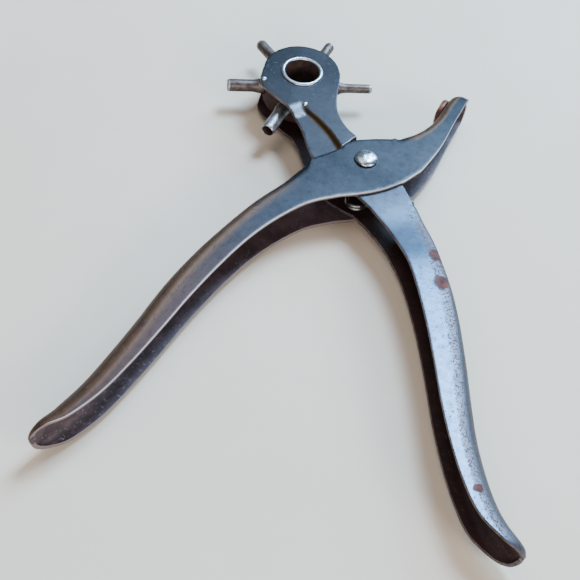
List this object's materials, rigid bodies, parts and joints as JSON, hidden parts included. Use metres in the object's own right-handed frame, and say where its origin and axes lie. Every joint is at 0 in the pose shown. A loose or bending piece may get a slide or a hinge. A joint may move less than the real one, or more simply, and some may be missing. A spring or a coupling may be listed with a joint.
{
  "type": "rotary hole punch",
  "caption": "Revolving leather punch pliers: two pressed-steel levers, a turret of screwed-in punch tubes and a faced anvil, sprung open.",
  "frame": {"origin": "centre of the turret's hollow rivet, midway between the head plates", "axes": "+Z along the rivet and across the plates, +Y from the handles past the jaws, +X from the turret towards the anvil"},
  "size_m": [0.1444, 0.1973, 0.0188],
  "materials": {
    "lever_steel_dark": "worn dark steel with brown patina",
    "lever_steel_bright": "rubbed steel with pits and rust spots",
    "rivet_steel": "handled bright steel",
    "spring_steel": "drawn wire",
    "wheel_iron": "rusted dark iron",
    "tube_steel": "browned tool steel, rubbed at the tips",
    "anvil_copper": "dull copper alloy"
  },
  "bodies": {
    "turret_lever": {"turret_lever": "lever_steel_bright", "pivot_rivet": "rivet_steel", "pivot_spacer": "rivet_steel", "return_spring": "spring_steel", "turret_axle": "rivet_steel", "index_spring": "spring_steel", "index_pins": "rivet_steel"},
    "anvil_lever": {"anvil_lever": "lever_steel_dark", "anvil": "anvil_copper"},
    "turret": {"turret_wheel": "wheel_iron", "punch_tube_1": "tube_steel", "punch_tube_2": "tube_steel", "punch_tube_3": "tube_steel", "punch_tube_4": "tube_steel", "punch_tube_5": "tube_steel", "punch_tube_6": "tube_steel"}
  },
  "joints": [
    {"name": "lever_pivot", "type": "hinge", "parent": "turret_lever", "child": "anvil_lever", "pos_m": [0.03154, -0.03552, 0], "axis": [0, 0, 1], "range_deg": [0, 34.4], "stiffness_Nm_per_rad": 0.8, "springref_deg": -28.65, "deforming": ["return_spring"]},
    {"name": "turret_spin", "type": "hinge", "parent": "turret_lever", "child": "turret", "pos_m": [0, 0, 0], "axis": [0, 0, 1], "continuous": true, "deforming": ["index_spring"]}
  ]
}
